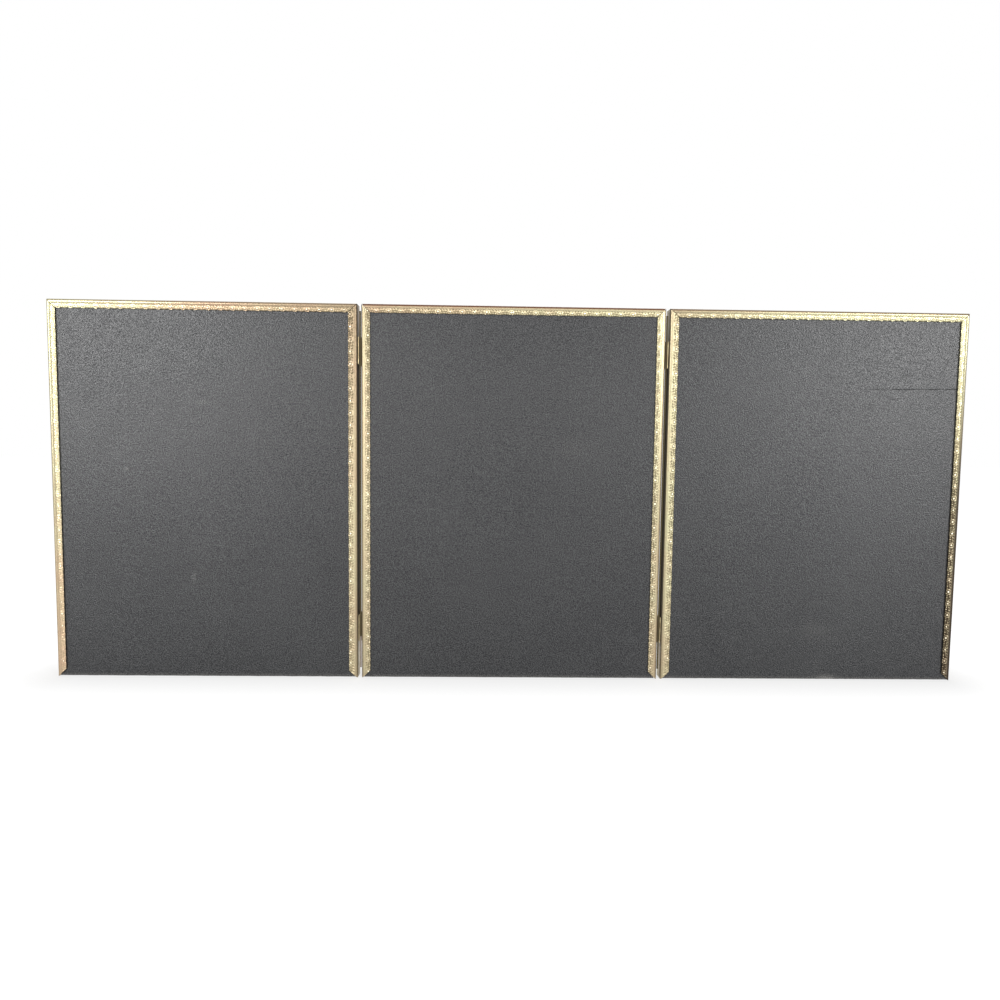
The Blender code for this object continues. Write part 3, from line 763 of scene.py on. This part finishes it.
def backingBoard(panel, b, seed):
    # Card slab: rows of x across the board, carried up Z, with rounded edges on its back. The back face is
    # warped by slow noise and pressed in along the scored lines, and the lower edge wavers. Rubbed rises
    # towards the edges, and at each worn spot by its strength times exp(-(x distance)^2 - (z distance)^2).
    name = panel + "_backing_board"
    low, high = (np.array(v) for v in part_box(name))
    r = b["edgeRound"]
    columns = round((high[0] - low[0]) / b["columnStep"])
    flatX = np.linspace(low[0] + r, high[0] - r, columns)
    angle = np.radians(np.linspace(0, 90, 4))[:-1]
    ends = r * (1 - np.cos(angle))
    insets = r * (1 - np.sin(angle))
    backX = np.concatenate([low[0] + ends, flatX, high[0] - ends[::-1]])
    backInset = np.concatenate([insets, np.zeros(columns), insets[::-1]])
    frontX = np.linspace(low[0], high[0], 24)
    flatZ = np.linspace(low[2] + r, high[2] - r, round((high[2] - low[2]) / b["rowStep"]))
    z = np.concatenate([low[2] + ends, flatZ, high[2] - ends[::-1]])
    rowInset = np.concatenate([insets, np.zeros(len(flatZ)), insets[::-1]])
    for x0, x1, height, slope in scoredLines[panel]:
        extra = height + 0.5 * slope * (x1 - x0) + np.linspace(-1.2, 1.2, 15) * mm
        z = np.concatenate([z, extra])
        rowInset = np.concatenate([rowInset, 0 * extra])
    order = np.argsort(z)
    z, rowInset = z[order][:, None], rowInset[order][:, None]

    waver = softNoise(backX, backX * 0, 9 * mm, seed) * b["edgeWaver"]
    nearFoot = 1 - smoothStep(low[2], low[2] + 6 * mm, z)
    backZ = z + nearFoot * (waver[None, :] * 0.5 + 0.5 * b["edgeWaver"])
    x = np.broadcast_to(backX[None, :], backZ.shape)
    warped = b["warp"] * (0.5 + 0.5 * softNoise(x, z, 90 * mm, seed + 1))
    y = high[1] - np.maximum(backInset[None, :], rowInset) - warped
    scored = np.zeros(x.shape)
    for x0, x1, height, slope in scoredLines[panel]:
        inSpan = smoothStep(x0 - 3 * mm, x0 + 2 * mm, x) * (1 - smoothStep(x1 - 36 * mm, x1 + 2 * mm, x))
        broken = np.clip(0.65 + 0.45 * softNoise(x, x * 0, 9 * mm, seed + 2), 0, 1)
        off = (z - height - slope * (x - x0)) / b["scoreWidth"]
        scored = np.maximum(scored, inSpan * broken * np.exp(-off ** 2))
    y = y - b["scoreDepth"] * scored
    fromEdge = np.minimum(np.minimum(x - low[0], high[0] - x), np.minimum(backZ - low[2], high[2] - backZ))
    rubbed = b["edgeRub"] * (1 - smoothStep(0, b["rubbedEdge"], fromEdge))
    for spotX, spotZ, wide, tall, strength in rubbedSpots[panel]:
        spot = np.exp(-((x - spotX) / wide) ** 2 - ((z - spotZ) / tall) ** 2)
        rubbed = rubbed + strength * spot
    outer = np.stack([x, y, backZ], axis=-1)
    frontGrid = np.broadcast_to(frontX[None, :], (len(z), len(frontX)))
    frontY = low[1] + rowInset + 0 * frontGrid
    frontZ = z + nearFoot * 0.5 * b["edgeWaver"] + 0 * frontGrid
    inner = np.stack([frontGrid, frontY, frontZ], axis=-1)
    points, quads, triangles = closedSweep(outer, inner)

    def spread(values, rest):
        return np.concatenate([values, np.full(frontGrid.shape, rest)], axis=1).ravel()
    piece = addPiece("pebbled_" + name, points, quads, triangles, blackCard, panel + "_board",
                     {"rubbed": spread(rubbed, 0.0), "scored": spread(scored, 0.0)}, b["sharpAngle"])
    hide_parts(name)
    return piece


for panelNumber, panel in enumerate(panelNames):
    backingBoard(panel, board, 11 + 5 * panelNumber)
print("backing boards made")


# Hinges, pins and rivets keep the CAD's shape: a copy of each is merged and shaded smooth

smoothing = {
    "mergeStep": 1e-6,
    "sharpAngle": 38.0,
}


def smoothCopy(node, material, body, sharpAngle):
    source = frame["nodes"][node].data
    count = len(source.vertices)
    points = np.empty(count * 3)
    source.vertices.foreach_get("co", points)
    loops = np.empty(len(source.loops), np.int32)
    source.loops.foreach_get("vertex_index", loops)
    grid = np.round(points.reshape(-1, 3) / smoothing["mergeStep"]).astype(np.int64)
    first, index = np.unique(grid, axis=0, return_index=True, return_inverse=True)[1:]
    triangles = index.reshape(-1)[loops].reshape(-1, 3)
    a, b, c = triangles.T
    whole = (a != b) & (b != c) & (a != c)
    piece = addPiece("smooth_" + node, points.reshape(-1, 3)[first], np.empty((0, 4), int), triangles[whole],
                     material, body, None, sharpAngle)
    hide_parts(node)
    return piece


finishes = {"hinge_brass": hingeBrass, "pin_steel": pinMetal, "centre_leaf": darkLeafBrass}
bodyOf = {node: body for body, nodes in frame["record"]["behaviour"]["bodies"].items() for node in nodes}
slotOf = {part["node"]: part["material_slot"] for part in frame["record"]["subparts"]}
for node in sorted(slotOf):
    if slotOf[node] in finishes:
        finish = finishes["centre_leaf" if node.endswith("centre_leaf") else slotOf[node]]
        smoothCopy(node, finish, bodyOf[node], smoothing["sharpAngle"])
for node, slotName in slotOf.items():
    for key, material in (("glass", glass), ("plain_paper", paper), ("grey_card", greyCard)):
        if slotName == key:
            frame["nodes"][node].data.materials.clear()
            frame["nodes"][node].data.materials.append(material)
print("hinges, glass, sheets and filler cards finished")


# Floor, light and camera

# Colour of the painted shade strips in the gaps
gapShadeBrown = (0.085, 0.068, 0.038, 1)
studio = {
    "floorSize": 12.0,
    "floorWhite": 0.60,
    "nearGlow": 0.68,
    "farGlow": 0.90,
    "shadeStart": 6 * mm,
    "shadeReach": 60 * mm,
    "shownShade": 0.30,
    "skyDiffuse": 0.40,
    "lamps": (((0.88, 1.15, 0.45), 0.5, 10.2), ((-0.96, 1.15, 0.45), 0.5, 10.2),
              ((0.0, 1.9, 0.4), 1.0, 7.0), ((0.0, -1.3, 1.1), 1.2, 8.0)),
    "aim": (0.0, 0.0, 0.13),
    "gapTuck": 0.05 * mm,
    "gapReach": 1.15 * mm,
    "gapDepth": 0.2 * mm,
    "gapStrips": ((-1, 7 * mm, 252 * mm, gapShadeBrown), (1, 29 * mm, 252 * mm, gapShadeBrown),
                  (1, 7 * mm, 29 * mm, (0.24, 0.20, 0.17, 1))),
}


def seenAsBackground(material):
    # 1 for rays that should see the white background: camera, glossy and transmission rays
    path = addNode(material, "ShaderNodeLightPath")
    mirrored = maths(material, "MAXIMUM", path.outputs["Is Glossy Ray"], path.outputs["Is Transmission Ray"])
    return maths(material, "MAXIMUM", path.outputs["Is Camera Ray"], mirrored)


def bareMaterial(name):
    # Material without a shader, and its nodes
    material = bpy.data.materials.new(name)
    material.use_nodes = True
    nodes = material.node_tree.nodes
    nodes.remove(nodes["Principled BSDF"])
    return material, nodes


def flatSheet(name, corners, material):
    # Flat sheet from its four corners in turn
    mesh = bpy.data.meshes.new(name)
    mesh.from_pydata(corners, [], [(0, 1, 2, 3)])
    mesh.materials.append(material)
    sheet = bpy.data.objects.new(name, mesh)
    bpy.context.scene.collection.objects.link(sheet)
    return sheet


def makeFloor(s):
    half = s["floorSize"] / 2
    corners = [(-half, -half, 0), (half, -half, 0), (half, half, 0), (-half, half, 0)]
    material, nodes = bareMaterial("paleFloor")
    white = (s["floorWhite"],) * 3 + (1,)
    plain = addNode(material, "ShaderNodeBsdfDiffuse", {"Color": white})
    shade = addNode(material, "ShaderNodeBsdfDiffuse", {"Color": (s["shownShade"],) * 3 + (1,)})
    # The floor is drawn darker around the frame's resting foot, a painted contact shadow, and stays so when a
    # wing is folded: its glow rises with the distance to that foot, which is that of (|x| - half its length,
    # or
    # 0, and y) from the origin
    place = addNode(material, "ShaderNodeSeparateXYZ", {0: objectPlace(material)})
    beyond = maths(material, "SUBTRACT", maths(material, "ABSOLUTE", place.outputs["X"], 0.0), cadBox[1][0])
    away = addNode(material, "ShaderNodeCombineXYZ", {"X": maths(material, "MAXIMUM", beyond, 0.0),
                                                      "Y": place.outputs["Y"]})
    length = addNode(material, "ShaderNodeVectorMath", {0: away.outputs[0]}, operation="LENGTH")
    strength = mapped(material, length.outputs["Value"], s["shadeStart"], s["shadeReach"],
                      s["nearGlow"], s["farGlow"])
    glow = addNode(material, "ShaderNodeEmission", {"Color": (1, 1, 1, 1), "Strength": strength})
    shown = addNode(material, "ShaderNodeAddShader", {0: shade.outputs[0], 1: glow.outputs[0]})
    choice = addNode(material, "ShaderNodeMixShader", {0: seenAsBackground(material), 1: plain.outputs[0],
                                                       2: shown.outputs[0]})
    link(material, choice.outputs[0], nodes["Material Output"].inputs["Surface"])
    floor = flatSheet("floor", corners, material)


def makeGapShades(s):
    # The photographed frame probably lies on a sheet, and its gaps are dark over part of their width. Thin
    # matt strips of painted shade stand in the gaps beside the centre panel's walls, for that shaded sheet.
    # They aren't part of the frame, they stay when a wing is folded, and their places and colours suit the
    # photographer's view. Each is (side of the centre panel, lower end, upper end, colour).
    low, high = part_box("centre_left_rail")[0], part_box("centre_right_rail")[1]
    y = high.y - strip["backEdgeRadius"] - s["gapDepth"]
    walls = {-1: low.x, 1: high.x}
    for number, (side, bottom, top, colour) in enumerate(s["gapStrips"]):
        material, nodes = bareMaterial("gapShade" + str(number))
        matt = addNode(material, "ShaderNodeBsdfDiffuse", {"Color": colour})
        link(material, matt.outputs[0], nodes["Material Output"].inputs["Surface"])
        near, far = walls[side] - side * s["gapTuck"], walls[side] + side * s["gapReach"]
        corners = [(near, y, bottom), (far, y, bottom), (far, y, top), (near, y, top)]
        shade = flatSheet("gapShade" + str(number), corners, material)


def makeSky(s):
    world = bpy.data.worlds.new("studio")
    bpy.context.scene.world = world
    world.use_nodes = True
    extra = maths(world, "MULTIPLY", seenAsBackground(world), 1 - s["skyDiffuse"])
    strength = maths(world, "ADD", extra, s["skyDiffuse"])
    background = world.node_tree.nodes["Background"]
    background.inputs["Color"].default_value = (1, 1, 1, 1)
    link(world, strength, background.inputs["Strength"])


def makeLamps(s):
    # Each lamp is (place, side in metres, power in watts)
    for number, (place, size, power) in enumerate(s["lamps"]):
        lamp = bpy.data.lights.new("softbox" + str(number), "AREA")
        lamp.shape = "SQUARE"
        lamp.size = size
        lamp.energy = power
        item = bpy.data.objects.new(lamp.name, lamp)
        bpy.context.scene.collection.objects.link(item)
        item.location = place
        toward = np.array(s["aim"]) - np.array(place)
        flat = math.hypot(toward[0], toward[1])
        tilt = math.pi / 2 - math.atan2(-toward[2], flat)
        item.rotation_euler = (tilt, 0, math.atan2(-toward[0], toward[1]))


photographer = {
    "place": (0.0197, 0.5112, 0.1633),
    "turn": (85.696, -0.695, 178.756),
    "lens": 26.5,
}


def makeCamera(p):
    camera = bpy.data.cameras.new("photographer")
    camera.sensor_width = 36
    camera.lens = p["lens"]
    item = bpy.data.objects.new("photographer", camera)
    bpy.context.scene.collection.objects.link(item)
    item.location = p["place"]
    item.rotation_euler = [math.radians(angle) for angle in p["turn"]]
    bpy.context.scene.camera = item


makeFloor(studio)
makeGapShades(studio)
makeSky(studio)
makeLamps(studio)
makeCamera(photographer)
bpy.context.scene.view_settings.view_transform = "Standard"
print("floor, light and camera set")
